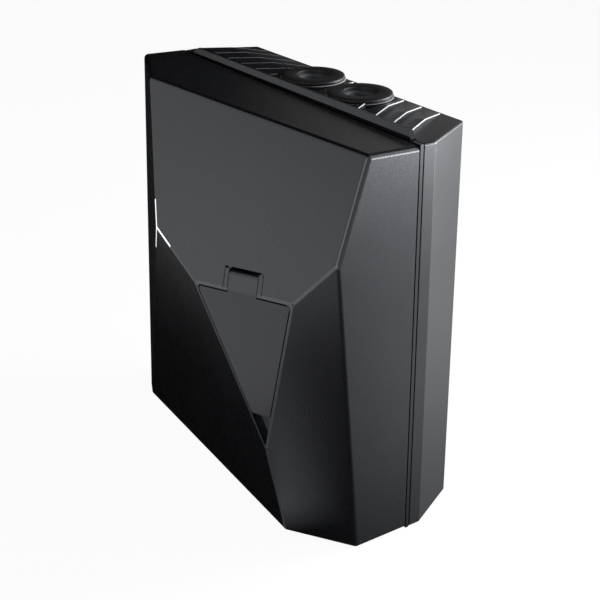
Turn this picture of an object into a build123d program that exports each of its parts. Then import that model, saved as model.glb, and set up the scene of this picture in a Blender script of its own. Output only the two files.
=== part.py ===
from build123d import *
import os
from math import atan2, degrees

os.makedirs("parts", exist_ok=True)

# A compact wall box that charges electric cars. The origin is on the wall, in the
# middle of the four wall screws. X runs to the right seen from the front, Z up,
# and the front faces -Y. All sizes are in millimetres, and in the code below
# heights count from the underside until the pieces are written out.

# Housing
housing_width = 256.0
housing_height = 251.0
housing_depth = 131.0
wall = 3.0
edge_radius = 1.4
ridge_radius = 3.0
overrun = 2.0

# Rear housing: straight sides, then a taper to the wall
rear_depth = 45.7
taper_depth = 37.8
taper_inset = 19.8
back_recess = 6.0
lip = 5.0

# Frame band between rear housing and cover
band_depth = 3.9
seam_gap = 0.9
seam_sink = 2.0
bar_rise = 4.2
bar_thickness = 4.0
bar_inset = 10.0
bar_channel = 3.2

# Corners of the cover's facets, as shares of the housing's width, depth and height
top_left_shares = (-0.2832, 0.8074, 1.0129)
top_right_shares = (0.5, 0.6480, 1.0032)
shoulder_right_shares = (0.5, 0.8000, 0.7665)
shoulder_left_shares = (-0.1158, 0.9876, 0.6774)
foot_left_shares = (-0.4582, 0.6916, 0.0)
foot_keel_shares = (0.3419, 0.8570, 0.0)
foot_right_shares = (0.5, 0.6684, 0.0)
flap_left_shares = (0.0693, 0.9995, 0.5976)
flap_right_shares = (0.4010, 0.8976, 0.6473)
flap_tip_shares = (0.3147, 0.9298, 0.2355)

# Flap, its pocket and its hinge
opening_rim = 0.7
flap_gap = 0.6
flap_thickness = 3.0
flap_corner_radius = 2.4
flap_tip_cut = 22.0
floor_depth = 5.0
floor_thickness = 2.5
finger_depth = 6.0
finger_clearance = 0.68388
tab_middle_share = 0.5
tab_width = 25.5
tab_height = 12.7
ear_width = 3.5
notch_gap = 1.3
knuckle_radius = 3.6
pin_radius = 1.5
running_gap = 0.05
hinge_clearance = 0.5
ear_depth = 6.4
flap_edge_chamfer = 0.4
flap_relief_slope = 0.75
spring_wire = 0.6
spring_radius = 2.0
spring_turns = 4
spring_bay = 9.0

# Charging socket
seal_gap = 0.5
seal_height = 1.4
seal_width = 1.3
groove_width = 5.6
flat_depth = 4.8
barrel_wall = 2.6
barrel_depth = 46.0
core_setback = 9.0
flange_margin = 1.0
flange_overhang = 11.8
flange_screw_inset = 5.0
flange_thickness = 3.0
socket_gasket_thickness = 1.5
contact_radius = 3.9
contact_bore = 3.0
signal_radius = 2.2
signal_bore = 1.5
contact_tail = 9.0
contact_tail_radius = 2.4
contact_spacing_share = 0.618
contact_drop_share = 0.527
signal_spacing_share = 0.345
signal_rise_share = 0.5
contact_lead_in = 0.9

# Plug lock
lock_bolt_radius = 2.2
lock_travel = 5.0
lock_depth = 19.0
lock_gap = 0.15
actuator_width = 30.0
actuator_height = 24.0
actuator_depth = 26.0

# Light guide, a three-armed line where three facets meet
light_width = 1.5
light_depth = 5.0
light_arm_up = 17.0
light_arm_down = 18.5
light_arm_right = 18.0
light_board_width = 36.0
light_board_height = 44.0
light_board_gap = 17.6

# Cable entries
entry_middle = 13.5
entry_pitch = 48.6
entry_setback = 21.4
entry_flange_radius = 20.1
entry_flange_thickness = 2.6
entry_collar_radius = 20.8
entry_collar_rise = 2.4
entry_neck_radius = 11.0
entry_lip_radius = 12.2
entry_lip_height = 2.5
entry_mouth_radius = 10.6
entry_bore_radius = 5.5
entry_steps = 3
entry_bore_length = 3.0

# Louvres on the roof
louvre_count = 6
louvre_inset = 14.5
louvre_pitch = 16.7
louvre_kink_setback = 24.0
louvre_kink_shift = 11.0
louvre_rear_setback = 2.4
louvre_rear_shift = 23.0
louvre_height = 4.0
louvre_rear_height = 0.7
louvre_root = 0.3
louvre_crest = 0.5

# Wall plate and fixings
plate_thickness = 3.0
plate_side_margin = 26.0
plate_end_margin = 22.5
plate_corner = 8.0
plate_side_band = 37.0
plate_end_band = 43.0
fixing_side_inset = 10.0
fixing_end_inset = 18.0
fixing_radius = 2.75
access_radius = 6.5
plate_screw_side_inset = 42.0
plate_screw_inset = 14.0
screw_radius = 2.0
screw_head_radius = 3.8
screw_head_height = 2.4
boss_radius = 5.0

# Boards and what they carry
board_thickness = 1.6
post_height = 11.0
post_radius = 3.6
board_width = 100.0
board_height = 124.0
board_side_gap = 42.0
board_foot = 20.0
board_screw_radius = 1.5
board_screw_head_radius = 2.8
board_screw_head_height = 2.0
board_screw_inset = 5.0
terminal_width = 92.0
terminal_height = 24.0
terminal_depth = 26.0
terminal_drop = 39.0
terminal_poles = 5

# Cover fixing tabs
tab_inset = 50.0
tab_breadth = 14.0
tab_thickness = 3.0
tab_gap = 0.4
tab_reach = 9.0

# Worked out places
cover_back = -(rear_depth + band_depth)
half_width = housing_width / 2
back_wall_front = -(back_recess + wall)
fixing_height = housing_height / 2
reach = housing_width + housing_height + housing_depth
bar_length = housing_width - 2 * bar_inset
louvre_front_reach = half_width - louvre_inset
entry_xs = (entry_middle - entry_pitch / 2, entry_middle + entry_pitch / 2)
tab_xs = (-half_width + tab_inset, half_width - tab_inset)
plate_width = housing_width - 2 * plate_side_margin
plate_height = housing_height - 2 * plate_end_margin
plate_window_width = plate_width - 2 * plate_side_band
plate_window_height = plate_height - 2 * plate_end_band
fixing_width = plate_width - 2 * fixing_side_inset
fixing_spread = plate_height - 2 * fixing_end_inset
plate_screw_xs = (-plate_width / 2 + plate_screw_side_inset, plate_width / 2 - plate_screw_side_inset)
board_left = -half_width + board_side_gap
board_front = back_wall_front - post_height - board_thickness
terminal_foot = housing_height - terminal_drop - terminal_height
terminal_x = entry_middle


def slab(low, high):
    size = [b - a for a, b in zip(low, high)]
    middle = [(a + b) / 2 for a, b in zip(low, high)]
    return Pos(*middle) * Box(*size)


def rod(start, direction, radius, length):
    frame = Plane(origin=start, z_dir=direction)
    return frame * Cylinder(radius, length, align=(Align.CENTER, Align.CENTER, Align.MIN))


def frame_ring(outer_inset, inner_inset, back, front):
    outer = slab((-half_width + outer_inset, front, outer_inset),
                 (half_width - outer_inset, back, housing_height - outer_inset))
    inner = slab((-half_width + inner_inset, front - overrun, inner_inset),
                 (half_width - inner_inset, back + overrun, housing_height - inner_inset))
    return outer - inner


def corner(shares):
    across, forward, up = shares
    return Vector(across * housing_width, -forward * housing_depth, up * housing_height)


def facet(first, second, third):
    normal = (second - first).cross(third - first).normalized()
    if normal.dot(first - Vector(0, cover_back, housing_height / 2)) < 0:
        normal = -normal
    return Plane(origin=first, x_dir=second - first, z_dir=normal)


# Planes of the cover
top_left = corner(top_left_shares)
top_right = corner(top_right_shares)
shoulder_right = corner(shoulder_right_shares)
shoulder_left = corner(shoulder_left_shares)
foot_left = corner(foot_left_shares)
foot_keel = corner(foot_keel_shares)
foot_right = corner(foot_right_shares)
flap_left = corner(flap_left_shares)
flap_right = corner(flap_right_shares)
flap_tip = corner(flap_tip_shares)

main_facet = facet(top_left, top_right, shoulder_right)
left_facet = facet(shoulder_left, foot_left, foot_keel)
right_facet = facet(shoulder_right, foot_right, foot_keel)
side_facet = facet(top_left, shoulder_left, foot_left)
flap_facet = facet(flap_left, flap_right, flap_tip)
roof_facet = facet(Vector(0, cover_back, housing_height), top_left, top_right)
facets = (main_facet, left_facet, right_facet, side_facet, flap_facet, roof_facet)


def beyond(plane):
    return plane * Box(reach, reach, reach, align=(Align.CENTER, Align.CENTER, Align.MIN))


def cover_block(inset, back=cover_back):
    body = slab((-half_width + inset, -housing_depth - wall, inset),
                (half_width - inset, back, housing_height + housing_depth))
    for plane in facets:
        body -= beyond(plane.offset(-inset))
    return body


# The flap's own frame: origin in the middle of the largest circle in the triangle,
# x level to the right, y up and z out of the cover
side_a = (flap_right - flap_tip).length
side_b = (flap_left - flap_tip).length
side_c = (flap_left - flap_right).length
flap_centre = (flap_left * side_a + flap_right * side_b + flap_tip * side_c) / (side_a + side_b + side_c)
flap_level = Vector(0, 0, 1).cross(flap_facet.z_dir)
flap_frame = Plane(origin=flap_centre, x_dir=flap_level, z_dir=flap_facet.z_dir)


def flap_prism(inset, start, end):
    points = [flap_frame.to_local_coords(p) for p in (flap_left, flap_right, flap_tip)]
    outline = make_face(Polyline(*[(p.X, p.Y) for p in points], close=True))
    if inset:
        outline = offset(outline, amount=-inset, kind=Kind.INTERSECTION)
    prism = extrude(outline, amount=start - end)
    return flap_frame.offset(-start) * prism


def flap_opening(depth):
    hollow = flap_prism(opening_rim, -overrun, depth)
    upright = hollow.edges().filter_by(Axis(flap_centre, flap_frame.z_dir))
    upper = upright.filter_by(lambda e: flap_frame.to_local_coords(e.center()).Y > 0)
    return fillet(upper, flap_corner_radius + flap_gap)


def inward(start, radius, length):
    return flap_frame.offset(-start) * Cylinder(
        radius, length, align=(Align.CENTER, Align.CENTER, Align.MAX))


# The hinge frame: x along the flap's top edge, y up along the main facet, z out
hinge_line = (flap_right - flap_left).normalized()
hinge_frame = Plane(origin=flap_left + (flap_right - flap_left) * tab_middle_share,
                    x_dir=hinge_line, z_dir=main_facet.z_dir)
knuckle_height = tab_height - knuckle_radius


def hinge_box(low, high):
    return hinge_frame * slab(low, high)


def hinge_rod(start, radius, length):
    across = Plane(origin=(start, knuckle_height, -knuckle_radius), z_dir=(1, 0, 0))
    body = Cylinder(radius, length, align=(Align.CENTER, Align.CENTER, Align.MIN))
    return hinge_frame * (across * body)


def write(name, solid):
    placed = Pos(0, 0, -fixing_height) * solid
    export_step(placed, f"parts/{name}.step")


# Rear housing
def rear_outline(inset, back, front, low, high):
    side = half_width - inset
    tail = side - taper_inset
    outline = Polyline((-side, front), (side, front), (side, -taper_depth), (tail, 0),
                       (-tail, 0), (-side, -taper_depth), close=True)
    body = Pos(0, 0, low) * extrude(make_face(outline), amount=high - low)
    return body & slab((-housing_width, front, low), (housing_width, back, high))


def louvre(number, side):
    front_x = louvre_front_reach - louvre_pitch * number
    stations = ((-(rear_depth + seam_gap - bar_thickness), 0, louvre_height),
                (-louvre_kink_setback, louvre_kink_shift, louvre_height),
                (-louvre_rear_setback, louvre_rear_shift, louvre_rear_height))
    sections = []
    for y, shift, height in stations:
        ridge = side * (front_x - shift)
        root = side * (front_x - shift - louvre_pitch)
        foot = housing_height - wall / 2
        crest = housing_height + height
        heel = housing_height + louvre_root
        eased = side * (front_x - shift - louvre_crest)
        outline = Polyline((ridge, y, foot), (ridge, y, crest - louvre_crest), (eased, y, crest),
                           (root, y, heel), (root, y, foot), close=True)
        sections.append(make_face(outline))
    return loft(sections, ruled=True)


def rear_housing():
    body = rear_outline(0, 0, -rear_depth, 0, housing_height)
    seen_edges = body.edges().filter_by(lambda e: -rear_depth + wall / 2 < e.center().Y < 0)
    wall_edges = body.edges().filter_by(Axis.Z).filter_by(lambda e: e.center().Y > -wall)
    body = fillet(seen_edges + wall_edges, edge_radius)
    body -= rear_outline(wall, back_wall_front, -rear_depth - overrun, wall, housing_height - wall)
    body -= rear_outline(wall, overrun, -back_recess, wall, housing_height - wall)
    body += frame_ring(wall / 2, wall + lip, -rear_depth + wall, -rear_depth)
    for side in (-1, 1):
        for number in range(louvre_count):
            body += louvre(number, side)
    for x in entry_xs:
        body -= rod((x, -entry_setback, housing_height), (0, 0, 1), entry_collar_radius + overrun,
                    louvre_height + overrun)
    for x in entry_xs:
        spot = (x, -entry_setback, housing_height - wall)
        body += rod(spot, (0, 0, 1), entry_collar_radius, wall + entry_collar_rise)
    for x in entry_xs:
        spot = (x, -entry_setback, housing_height - wall - overrun)
        body -= rod(spot, (0, 0, 1), entry_neck_radius, wall + entry_collar_rise + 2 * overrun)
    for x in (-fixing_width / 2, fixing_width / 2):
        for z in (fixing_height - fixing_spread / 2, fixing_height + fixing_spread / 2):
            body -= rod((x, -back_recess + overrun, z), (0, -1, 0), access_radius, wall + 2 * overrun)
    for x, z in plate_screw_spots():
        body -= rod((x, -back_recess + overrun, z), (0, -1, 0), screw_radius, wall + 2 * overrun)
    for x, z in board_posts() + terminal_posts():
        body += rod((x, back_wall_front + wall / 2, z), (0, -1, 0), post_radius, post_height + wall / 2)
        body -= rod((x, back_wall_front, z), (0, -1, 0), board_screw_radius, post_height + overrun)
    for x in tab_xs:
        y = tab_screw_y()
        body -= rod((x, y, -overrun), (0, 0, 1), screw_radius, wall + 2 * overrun)
        body -= Pos(x, y, 0) * Cone(screw_head_radius, screw_radius, screw_head_height,
                                    align=(Align.CENTER, Align.CENTER, Align.MIN))
    return body


# Screw places
def plate_screw_spots():
    low = fixing_height - plate_height / 2 + plate_screw_inset
    high = fixing_height + plate_height / 2 - plate_screw_inset
    return [(x, z) for x in plate_screw_xs for z in (low, high)]


def board_posts():
    xs = (board_left + board_screw_inset, board_left + board_width - board_screw_inset)
    zs = (board_foot + board_screw_inset, board_foot + board_height - board_screw_inset)
    return [(x, z) for x in xs for z in zs]


def terminal_posts():
    x = terminal_width / 2 + board_screw_inset
    z = terminal_foot + terminal_height / 2
    return [(terminal_x - x, z), (terminal_x + x, z)]


def tab_screw_y():
    return -rear_depth + wall + tab_gap + tab_reach / 2


# Frame band
def frame_band():
    ring = frame_ring(0, wall + lip / 2, -rear_depth - seam_gap, cover_back + seam_gap)
    ring += frame_ring(seam_sink, wall + lip / 2, -rear_depth, cover_back)
    channel = bar_length / 2 + seam_gap
    ring -= slab((-channel, cover_back - overrun, housing_height - bar_channel),
                 (channel, overrun - rear_depth - seam_gap, housing_height + overrun))
    y = -rear_depth - seam_gap
    foot = housing_height - bar_channel
    top = housing_height + bar_rise
    middle = -rear_depth - band_depth / 2
    profile = Polyline((0, middle, foot - wall / 2), (0, middle, foot), (0, y, foot),
                       (0, y, housing_height + bar_rise / 4),
                       (0, y + bar_thickness / 2, top), (0, y + bar_thickness, top),
                       (0, y + bar_thickness, housing_height), (0, -rear_depth, housing_height),
                       (0, -rear_depth, foot - wall / 2), close=True)
    bar = extrude(make_face(profile), amount=bar_length / 2, dir=(1, 0, 0), both=True)
    for side in (-1, 1):
        end = Plane(origin=(side * (bar_length / 2 - bar_rise - seam_gap), 0, top), z_dir=(side, 0, 1))
        bar -= beyond(end)
    return ring + bar


def housing_gasket():
    return frame_ring(wall + lip / 2, wall + lip, -rear_depth, cover_back)


# Front cover
def cover_tab(x, upper):
    run = wall + lip + tab_gap
    reach_back = -rear_depth + wall + tab_gap + tab_reach
    arm = slab((x - tab_breadth / 2, cover_back - lip, run),
               (x + tab_breadth / 2, reach_back, run + tab_thickness))
    foot = slab((x - tab_breadth / 2, -rear_depth + wall + tab_gap, wall + tab_gap),
                (x + tab_breadth / 2, reach_back, run + tab_thickness))
    root = slab((x - tab_breadth / 2, cover_back - lip, wall / 2),
                (x + tab_breadth / 2, cover_back - wall / 2, run + tab_thickness))
    body = arm + foot + root
    if upper:
        body = Pos(0, 0, housing_height) * mirror(body, about=Plane.XY)
    else:
        body -= rod((x, tab_screw_y(), 0), (0, 0, 1), screw_radius, run + tab_thickness + overrun)
    return body


def light_arms(width, depth):
    ends = ((top_left, light_arm_up), (foot_left, light_arm_down), (flap_left, light_arm_right))
    inner = -(main_facet.z_dir + side_facet.z_dir + left_facet.z_dir).normalized()
    body = None
    for end, length in ends:
        along = (end - shoulder_left).normalized()
        arm_frame = Plane(origin=shoulder_left, x_dir=along, z_dir=inner)
        arm = arm_frame * Box(length + width / 2, width, 2 * depth, align=(Align.MIN, Align.CENTER, Align.CENTER))
        body = arm if body is None else body + arm
    return body


def light_board_spot():
    return shoulder_left.X, shoulder_left.Y + light_board_gap, shoulder_left.Z + light_arm_up / 4


def front_cover():
    outer = cover_block(0)
    ridges = outer.edges().filter_by(lambda e: e.center().Y < cover_back - edge_radius)
    body = fillet(ridges, ridge_radius)
    body -= cover_block(wall, cover_back + overrun)
    body += frame_ring(wall / 2, wall + lip, cover_back, cover_back - wall)
    body &= slab((-half_width, -housing_depth - wall, 0), (half_width, cover_back, housing_height + housing_depth))
    inside = cover_block(wall / 2)
    pocket = flap_prism(opening_rim - floor_thickness, 0, floor_depth + floor_thickness)
    finger = flap_prism(opening_rim - floor_thickness, 0, finger_depth + floor_thickness)
    finger &= flap_frame * slab((-reach, -reach, -reach), (reach, finger_top() + floor_thickness, reach))
    body += (pocket + finger) & inside
    body += hinge_ears() & inside
    body -= flap_opening(floor_depth)
    hollow = flap_opening(finger_depth)
    body -= hollow & (flap_frame * slab((-reach, -reach, -reach), (reach, finger_top(), reach)))
    body -= d_prism(mouth_radius, mouth_flat, floor_depth - overrun, floor_thickness + 2 * overrun)
    body -= hinge_window()
    body -= light_arms(light_width, light_depth)
    for x, y, z in light_posts():
        post = slab((x - post_radius / 2, -housing_depth, z - post_radius / 2),
                    (x + post_radius / 2, y, z + post_radius / 2))
        body += post & inside
    for x in tab_xs:
        for upper in (False, True):
            body += cover_tab(x, upper)
    return body


def finger_top():
    return -(flange_reach + floor_thickness + finger_clearance)


def light_posts():
    x, y, z = light_board_spot()
    rise = light_board_height / 2 - post_radius
    return [(x, y, z - rise), (x, y, z + rise)]


def d_prism(radius, flat, start, length):
    body = inward(start, radius, length)
    return body & (flap_frame * slab((-reach, -reach, -reach), (reach, flat, reach)))


def hinge_ears():
    body = None
    for side in (-1, 1):
        near = tab_width / 2 + hinge_clearance
        far = near + ear_width
        low, high = sorted((side * near, side * far))
        ear = hinge_box((low, 0, -ear_depth), (high, tab_height + notch_gap, 0))
        body = ear if body is None else body + ear
    return body


def hinge_window():
    half = tab_width / 2 + hinge_clearance
    top = tab_height + notch_gap
    window = hinge_box((-half, -wall, -ear_depth - wall), (half, top, overrun))
    slit_half = half + ear_width
    line = hinge_clearance
    window += hinge_box((-slit_half, tab_height, -wall / 2), (slit_half, top, overrun))
    for side in (-1, 1):
        low, high = sorted((side * slit_half, side * (slit_half + line)))
        window += hinge_box((low, 0, -wall / 4), (high, top, overrun))
    return window + hinge_rod(-half - ear_width - overrun, pin_radius, 2 * (half + ear_width + overrun))


# Flap with its hinge tab
def socket_flap():
    plate = flap_prism(opening_rim + flap_gap, 0, flap_thickness)
    tip = flap_frame.to_local_coords(flap_tip)
    cut_edge = tip.Y + flap_tip_cut
    tilt = hinge_line.dot(Vector(0, 0, 1))
    cutter = flap_frame * (Pos(tip.X, cut_edge, 0) * (Rot(0, 0, degrees(atan2(tilt, 1)))
                           * Box(reach, reach, reach, align=(Align.CENTER, Align.MAX, Align.CENTER))))
    plate -= cutter
    corners = plate.edges().filter_by(Axis(flap_centre, flap_frame.z_dir))
    plate = fillet(corners, flap_corner_radius)
    upward = flap_facet.z_dir.cross(hinge_line)
    top_edge = flap_left - upward * (opening_rim + flap_gap)
    plate -= beyond(Plane(origin=top_edge, x_dir=hinge_line,
                          z_dir=upward - flap_facet.z_dir * flap_relief_slope))
    plate = chamfer(plate.faces().sort_by(Axis(flap_centre, flap_frame.z_dir))[-1].edges(), flap_edge_chamfer)
    tab = hinge_box((-tab_width / 2, -flap_thickness, -flap_thickness), (tab_width / 2, knuckle_height, 0))
    tab &= cover_block(0)
    body = plate + tab + hinge_rod(-tab_width / 2, knuckle_radius, tab_width)
    body -= hinge_rod(-tab_width, pin_radius + running_gap, 2 * tab_width)
    skin = knuckle_radius - spring_radius - spring_wire
    bay_low = (-spring_bay / 2, flap_thickness / 2, -ear_depth)
    bay_high = (spring_bay / 2, tab_height + overrun, -skin)
    body -= hinge_box(bay_low, bay_high)
    return body


def hinge_pin():
    half = tab_width / 2 + hinge_clearance + ear_width
    return hinge_rod(-half, pin_radius, 2 * half)


def hinge_spring():
    length = spring_bay - 4 * spring_wire
    path = Helix(pitch=length / spring_turns, height=length, radius=spring_radius)
    start = Plane(origin=path @ 0, z_dir=path % 0)
    coil = sweep(start * RegularPolygon(spring_wire / 2, side_count=6), path=path)
    across = Plane(origin=(-length / 2, knuckle_height, -knuckle_radius), z_dir=(1, 0, 0))
    return hinge_frame * (across * coil)


# Charging socket behind the pocket floor. Its mouth is the largest circle that the
# triangular pocket leaves room for, less the seal around it
flap_circle = (flap_left - flap_tip).cross(flap_right - flap_tip).length / (side_a + side_b + side_c)
mouth_radius = flap_circle - opening_rim - seal_width - seal_gap
mouth_flat = mouth_radius - flat_depth
core_radius = mouth_radius - groove_width
core_flat = core_radius - flat_depth
flange_reach = mouth_radius + barrel_wall + flange_overhang
flange_screw_reach = flange_reach - flange_screw_inset
flange_start = floor_depth + floor_thickness + socket_gasket_thickness
barrel_end = flange_start + barrel_depth
core_front = floor_depth + core_setback


def flange_spots():
    spots = []
    for vertex in (flap_left, flap_right, flap_tip):
        local = flap_frame.to_local_coords(vertex)
        spot = Vector(local.X, local.Y, 0).normalized() * flange_screw_reach
        spots.append((spot.X, spot.Y))
    return spots


def flange_plate(start, thickness):
    plate = flap_prism(-flange_margin, start, start + thickness)
    return plate & inward(start, flange_reach, thickness)


def drill(x, y, start, radius, length):
    spot = flap_frame.offset(-start) * Pos(x, y, 0)
    return spot * Cylinder(radius, length, align=(Align.CENTER, Align.CENTER, Align.MAX))


def power_spots():
    across = core_radius * contact_spacing_share
    drop = core_radius * contact_drop_share
    return [(-across, 0), (across, 0), (-across / 2, -drop), (across / 2, -drop)]


def signal_spots():
    across = core_radius * signal_spacing_share
    rise = core_radius * signal_rise_share
    return [(-across, rise), (across, rise)]


def socket_body():
    body = flange_plate(flange_start, flange_thickness)
    body += d_prism(mouth_radius + barrel_wall, mouth_flat + barrel_wall, flange_start, barrel_depth)
    body -= d_prism(mouth_radius, mouth_flat, flange_start - overrun, barrel_depth + overrun - barrel_wall)
    body -= d_prism(core_radius, core_flat, barrel_end - barrel_wall - overrun, barrel_wall + 2 * overrun)
    for x, y in flange_spots():
        body -= drill(x, y, flange_start - overrun, board_screw_radius, flange_thickness + 2 * overrun)
    hole = lock_bolt_radius + lock_gap
    body -= lock_rod(mouth_flat - overrun, hole, barrel_wall + 2 * overrun)
    return body


def contact_carrier():
    length = barrel_end - core_front
    body = d_prism(core_radius, core_flat, core_front, length)
    for x, y in power_spots() + [(0, 0)]:
        body -= drill(x, y, core_front - overrun, contact_radius, length + 2 * overrun)
        body -= lead_in(x, y, contact_radius)
    for x, y in signal_spots():
        body -= drill(x, y, core_front - overrun, signal_radius, length + 2 * overrun)
        body -= lead_in(x, y, signal_radius)
    return body


def lead_in(x, y, radius):
    spot = flap_frame.offset(-core_front) * Pos(x, y, 0)
    return spot * Cone(radius, radius + contact_lead_in, contact_lead_in,
                       align=(Align.CENTER, Align.CENTER, Align.MAX))


def lock_rod(rise, radius, length):
    spot = Plane(origin=(0, rise, -lock_depth), z_dir=(0, 1, 0))
    return flap_frame * (spot * Cylinder(radius, length, align=(Align.CENTER, Align.CENTER, Align.MIN)))


def contact(x, y, radius, bore):
    start = core_front + overrun
    sleeve = drill(x, y, start, radius, barrel_end - start)
    sleeve -= drill(x, y, start - overrun, bore, barrel_end - start - wall + overrun)
    tail = min(contact_tail_radius, radius)
    return sleeve + drill(x, y, barrel_end - wall, tail * bore / radius, wall + contact_tail)


def contacts(spots, radius, bore):
    return Compound([contact(x, y, radius, bore).solid() for x, y in spots])


def socket_gasket():
    plate = flange_plate(floor_depth + floor_thickness, socket_gasket_thickness)
    plate -= d_prism(mouth_radius, mouth_flat, floor_depth, floor_thickness + socket_gasket_thickness + overrun)
    for x, y in flange_spots():
        plate -= drill(x, y, floor_depth, board_screw_radius, floor_depth + overrun)
    return plate


def socket_screws():
    start = flange_start + flange_thickness
    solids = []
    for x, y in flange_spots():
        head = drill(x, y, start, board_screw_head_radius, board_screw_head_height)
        shank = drill(x, y, floor_depth + floor_thickness, board_screw_radius,
                      start - floor_depth - floor_thickness)
        solids.append((head + shank).solid())
    return Compound(solids)


def flap_seal():
    outer = d_prism(mouth_radius + seal_width, mouth_flat + seal_width, floor_depth - seal_height, seal_height)
    return outer - d_prism(mouth_radius, mouth_flat, floor_depth - seal_height - overrun, seal_height + 2 * overrun)


# Plug lock
def lock_base():
    return mouth_flat + barrel_wall + lock_gap


def lock_actuator():
    base = lock_base()
    start = flange_start + flange_thickness + lock_gap
    body = flap_frame * (Pos(0, base, -start) * Box(
        actuator_width, actuator_height, actuator_depth, align=(Align.CENTER, Align.MIN, Align.MAX)))
    body = fillet(body.edges().filter_by(Axis(flap_centre, flap_frame.y_dir)), edge_radius)
    hole = lock_rod(base - overrun, lock_bolt_radius + lock_gap, overrun + lock_travel + actuator_height / 2)
    return body - hole


def lock_bolt():
    return lock_rod(mouth_flat + lock_gap, lock_bolt_radius, barrel_wall + lock_gap + actuator_height / 2)


# Light guide and its board
def light_guide():
    return light_arms(light_width, light_depth) & cover_block(0)


def light_board():
    x, y, z = light_board_spot()
    return slab((x - light_board_width / 2, y, z - light_board_height / 2),
                (x + light_board_width / 2, y + board_thickness, z + light_board_height / 2))


# Cable entries
def cable_grommet(x):
    top = housing_height + entry_collar_rise + entry_flange_thickness
    seat = housing_height + entry_collar_rise
    under = housing_height - wall
    foot = under - entry_lip_height
    step = (entry_mouth_radius - entry_bore_radius) / entry_steps
    drop = (top - foot - entry_bore_length) / entry_steps
    points = [(entry_bore_radius, foot), (entry_lip_radius, foot), (entry_lip_radius, under),
              (entry_neck_radius, under), (entry_neck_radius, seat), (entry_flange_radius, seat),
              (entry_flange_radius, top), (entry_mouth_radius, top)]
    for number in range(entry_steps):
        radius = entry_mouth_radius - step * number
        level = top - drop * (number + 1)
        points.append((radius, level))
        points.append((radius - step, level))
    outline = make_face(Polyline(*[(r, 0, z) for r, z in points], close=True))
    body = revolve(outline, Axis.Z)
    return Pos(x, -entry_setback, 0) * body


# Wall plate
def wall_plate():
    body = slab((-plate_width / 2, -plate_thickness, fixing_height - plate_height / 2),
                (plate_width / 2, 0, fixing_height + plate_height / 2))
    body = fillet(body.edges().filter_by(Axis.Y), plate_corner)
    window = slab((-plate_window_width / 2, -back_recess, fixing_height - plate_window_height / 2),
                  (plate_window_width / 2, overrun, fixing_height + plate_window_height / 2))
    body -= fillet(window.edges().filter_by(Axis.Y), plate_corner)
    for x in (-fixing_width / 2, fixing_width / 2):
        for z in (fixing_height - fixing_spread / 2, fixing_height + fixing_spread / 2):
            body -= rod((x, overrun, z), (0, -1, 0), fixing_radius, plate_thickness + 2 * overrun)
    for x, z in plate_screw_spots():
        body += rod((x, 0, z), (0, -1, 0), boss_radius, back_recess)
        body -= rod((x, overrun, z), (0, -1, 0), screw_radius, back_recess + 2 * overrun)
    return body


def screw_group(spots, seat, radius, head_radius, head_height, length):
    solids = []
    for x, z in spots:
        head = rod((x, seat, z), (0, -1, 0), head_radius, head_height)
        shank = rod((x, seat, z), (0, 1, 0), radius, length)
        solids.append((head + shank).solid())
    return Compound(solids)


def cover_screws():
    solids = []
    for x in tab_xs:
        head = Cone(screw_head_radius, screw_radius, screw_head_height,
                    align=(Align.CENTER, Align.CENTER, Align.MIN))
        shank = Cylinder(screw_radius, wall + lip + tab_thickness,
                         align=(Align.CENTER, Align.CENTER, Align.MIN))
        solids.append((Pos(x, tab_screw_y(), 0) * (head + shank)).solid())
    return Compound(solids)


# Boards: what stands on the main board, as shares of the board and real sizes
relay_size = (20.0, 24.0, 30.0)
relay_shares = (0.2, 0.5, 0.8)
relay_row_share = 0.83
sensor_radius = 15.0
sensor_bore = 8.0
sensor_thickness = 11.0
sensor_shares = (0.82, 0.5)
supply_size = (34.0, 26.0, 30.0)
supply_shares = (0.25, 0.5)
radio_size = (18.0, 3.2, 26.0)
radio_shares = (0.78, 0.17)
capacitor_radius = 6.0
capacitor_height = 20.0
capacitor_shares = ((0.56, 0.28), (0.56, 0.42), (0.56, 0.56))
processor_size = (14.0, 1.4, 14.0)
processor_shares = (0.42, 0.14)


def board_point(across, up):
    return board_left + across * board_width, board_foot + up * board_height


def on_board(size, across, up):
    x, z = board_point(across, up)
    width, depth, height = size
    return slab((x - width / 2, board_front - depth, z - height / 2),
                (x + width / 2, board_front, z + height / 2))


def main_board():
    body = slab((board_left, board_front, board_foot),
                (board_left + board_width, board_front + board_thickness, board_foot + board_height))
    body = fillet(body.edges().filter_by(Axis.Y), edge_radius)
    for x, z in board_posts():
        body -= rod((x, board_front - overrun, z), (0, 1, 0), board_screw_radius, board_thickness + 2 * overrun)
    return body


def current_sensor():
    x, z = board_point(*sensor_shares)
    start = (x, board_front, z)
    body = rod(start, (0, -1, 0), sensor_radius, sensor_thickness)
    return body - rod((x, board_front + overrun, z), (0, -1, 0), sensor_bore, sensor_thickness + 2 * overrun)


def capacitors():
    solids = []
    for across, up in capacitor_shares:
        x, z = board_point(across, up)
        solids.append(rod((x, board_front, z), (0, -1, 0), capacitor_radius, capacitor_height).solid())
    return Compound(solids)


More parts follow.
